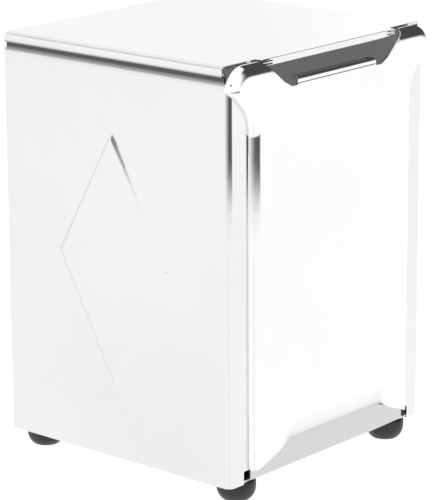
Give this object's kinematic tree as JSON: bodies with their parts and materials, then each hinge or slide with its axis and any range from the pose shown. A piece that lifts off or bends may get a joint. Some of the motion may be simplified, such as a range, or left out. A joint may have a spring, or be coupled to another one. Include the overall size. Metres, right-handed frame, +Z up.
{
  "type": "napkin dispenser",
  "caption": "Upright stainless table-top napkin dispenser with a hooked face plate, finger window, diamond-pressed sides, sprung follower inside and domed rubber feet.",
  "frame": {"origin": "on the table under the middle of the footprint, with the face plate counted in the depth", "axes": "+Z up, -Y out of the front where napkins are taken, +X to the right as seen from the front-facing user's view along +Y"},
  "size_m": [0.1046, 0.103, 0.1465],
  "materials": {
    "polished_sheet": "mirror-polished stainless sheet",
    "inner_sheet": "mill-finish stainless sheet",
    "ground_rod": "ground steel rod",
    "spring_steel": "drawn spring wire",
    "plated_hardware": "zinc-plated",
    "acetal": "moulded, satin",
    "rubber": "moulded, satin"
  },
  "bodies": {
    "case": {"body_shell": "polished_sheet", "lid": "polished_sheet", "base_pan": "polished_sheet", "napkin_floor": "inner_sheet", "guide_rod_left": "ground_rod", "guide_rod_right": "ground_rod", "rod_bracket_front": "inner_sheet", "rod_bracket_rear": "inner_sheet", "rod_clips": "spring_steel", "bracket_rivets": "plated_hardware", "stop_buffer_left": "rubber", "stop_buffer_right": "rubber", "spring_left": "spring_steel", "spring_right": "spring_steel", "foot_front_left": "rubber", "foot_front_right": "rubber", "foot_rear_left": "rubber", "foot_rear_right": "rubber", "foot_washers": "plated_hardware", "foot_screws": "plated_hardware", "foot_nuts": "plated_hardware"},
    "face": {"face_plate": "polished_sheet"},
    "follower": {"follower_plate": "inner_sheet", "slide_block": "acetal", "follower_screws": "plated_hardware"}
  },
  "joints": [
    {"name": "face_swing", "type": "hinge", "parent": "case", "child": "face", "pos_m": [0, -0.0474, 0.1423], "axis": [1, 0, 0], "range_deg": [-30, 0]},
    {"name": "follower_slide", "type": "slide", "parent": "case", "child": "follower", "axis": [0, 1, 0], "range_m": [0, 0.06], "stiffness_N_per_m": 70, "springref_m": -0.028, "deforming": ["spring_left", "spring_right"]}
  ]
}
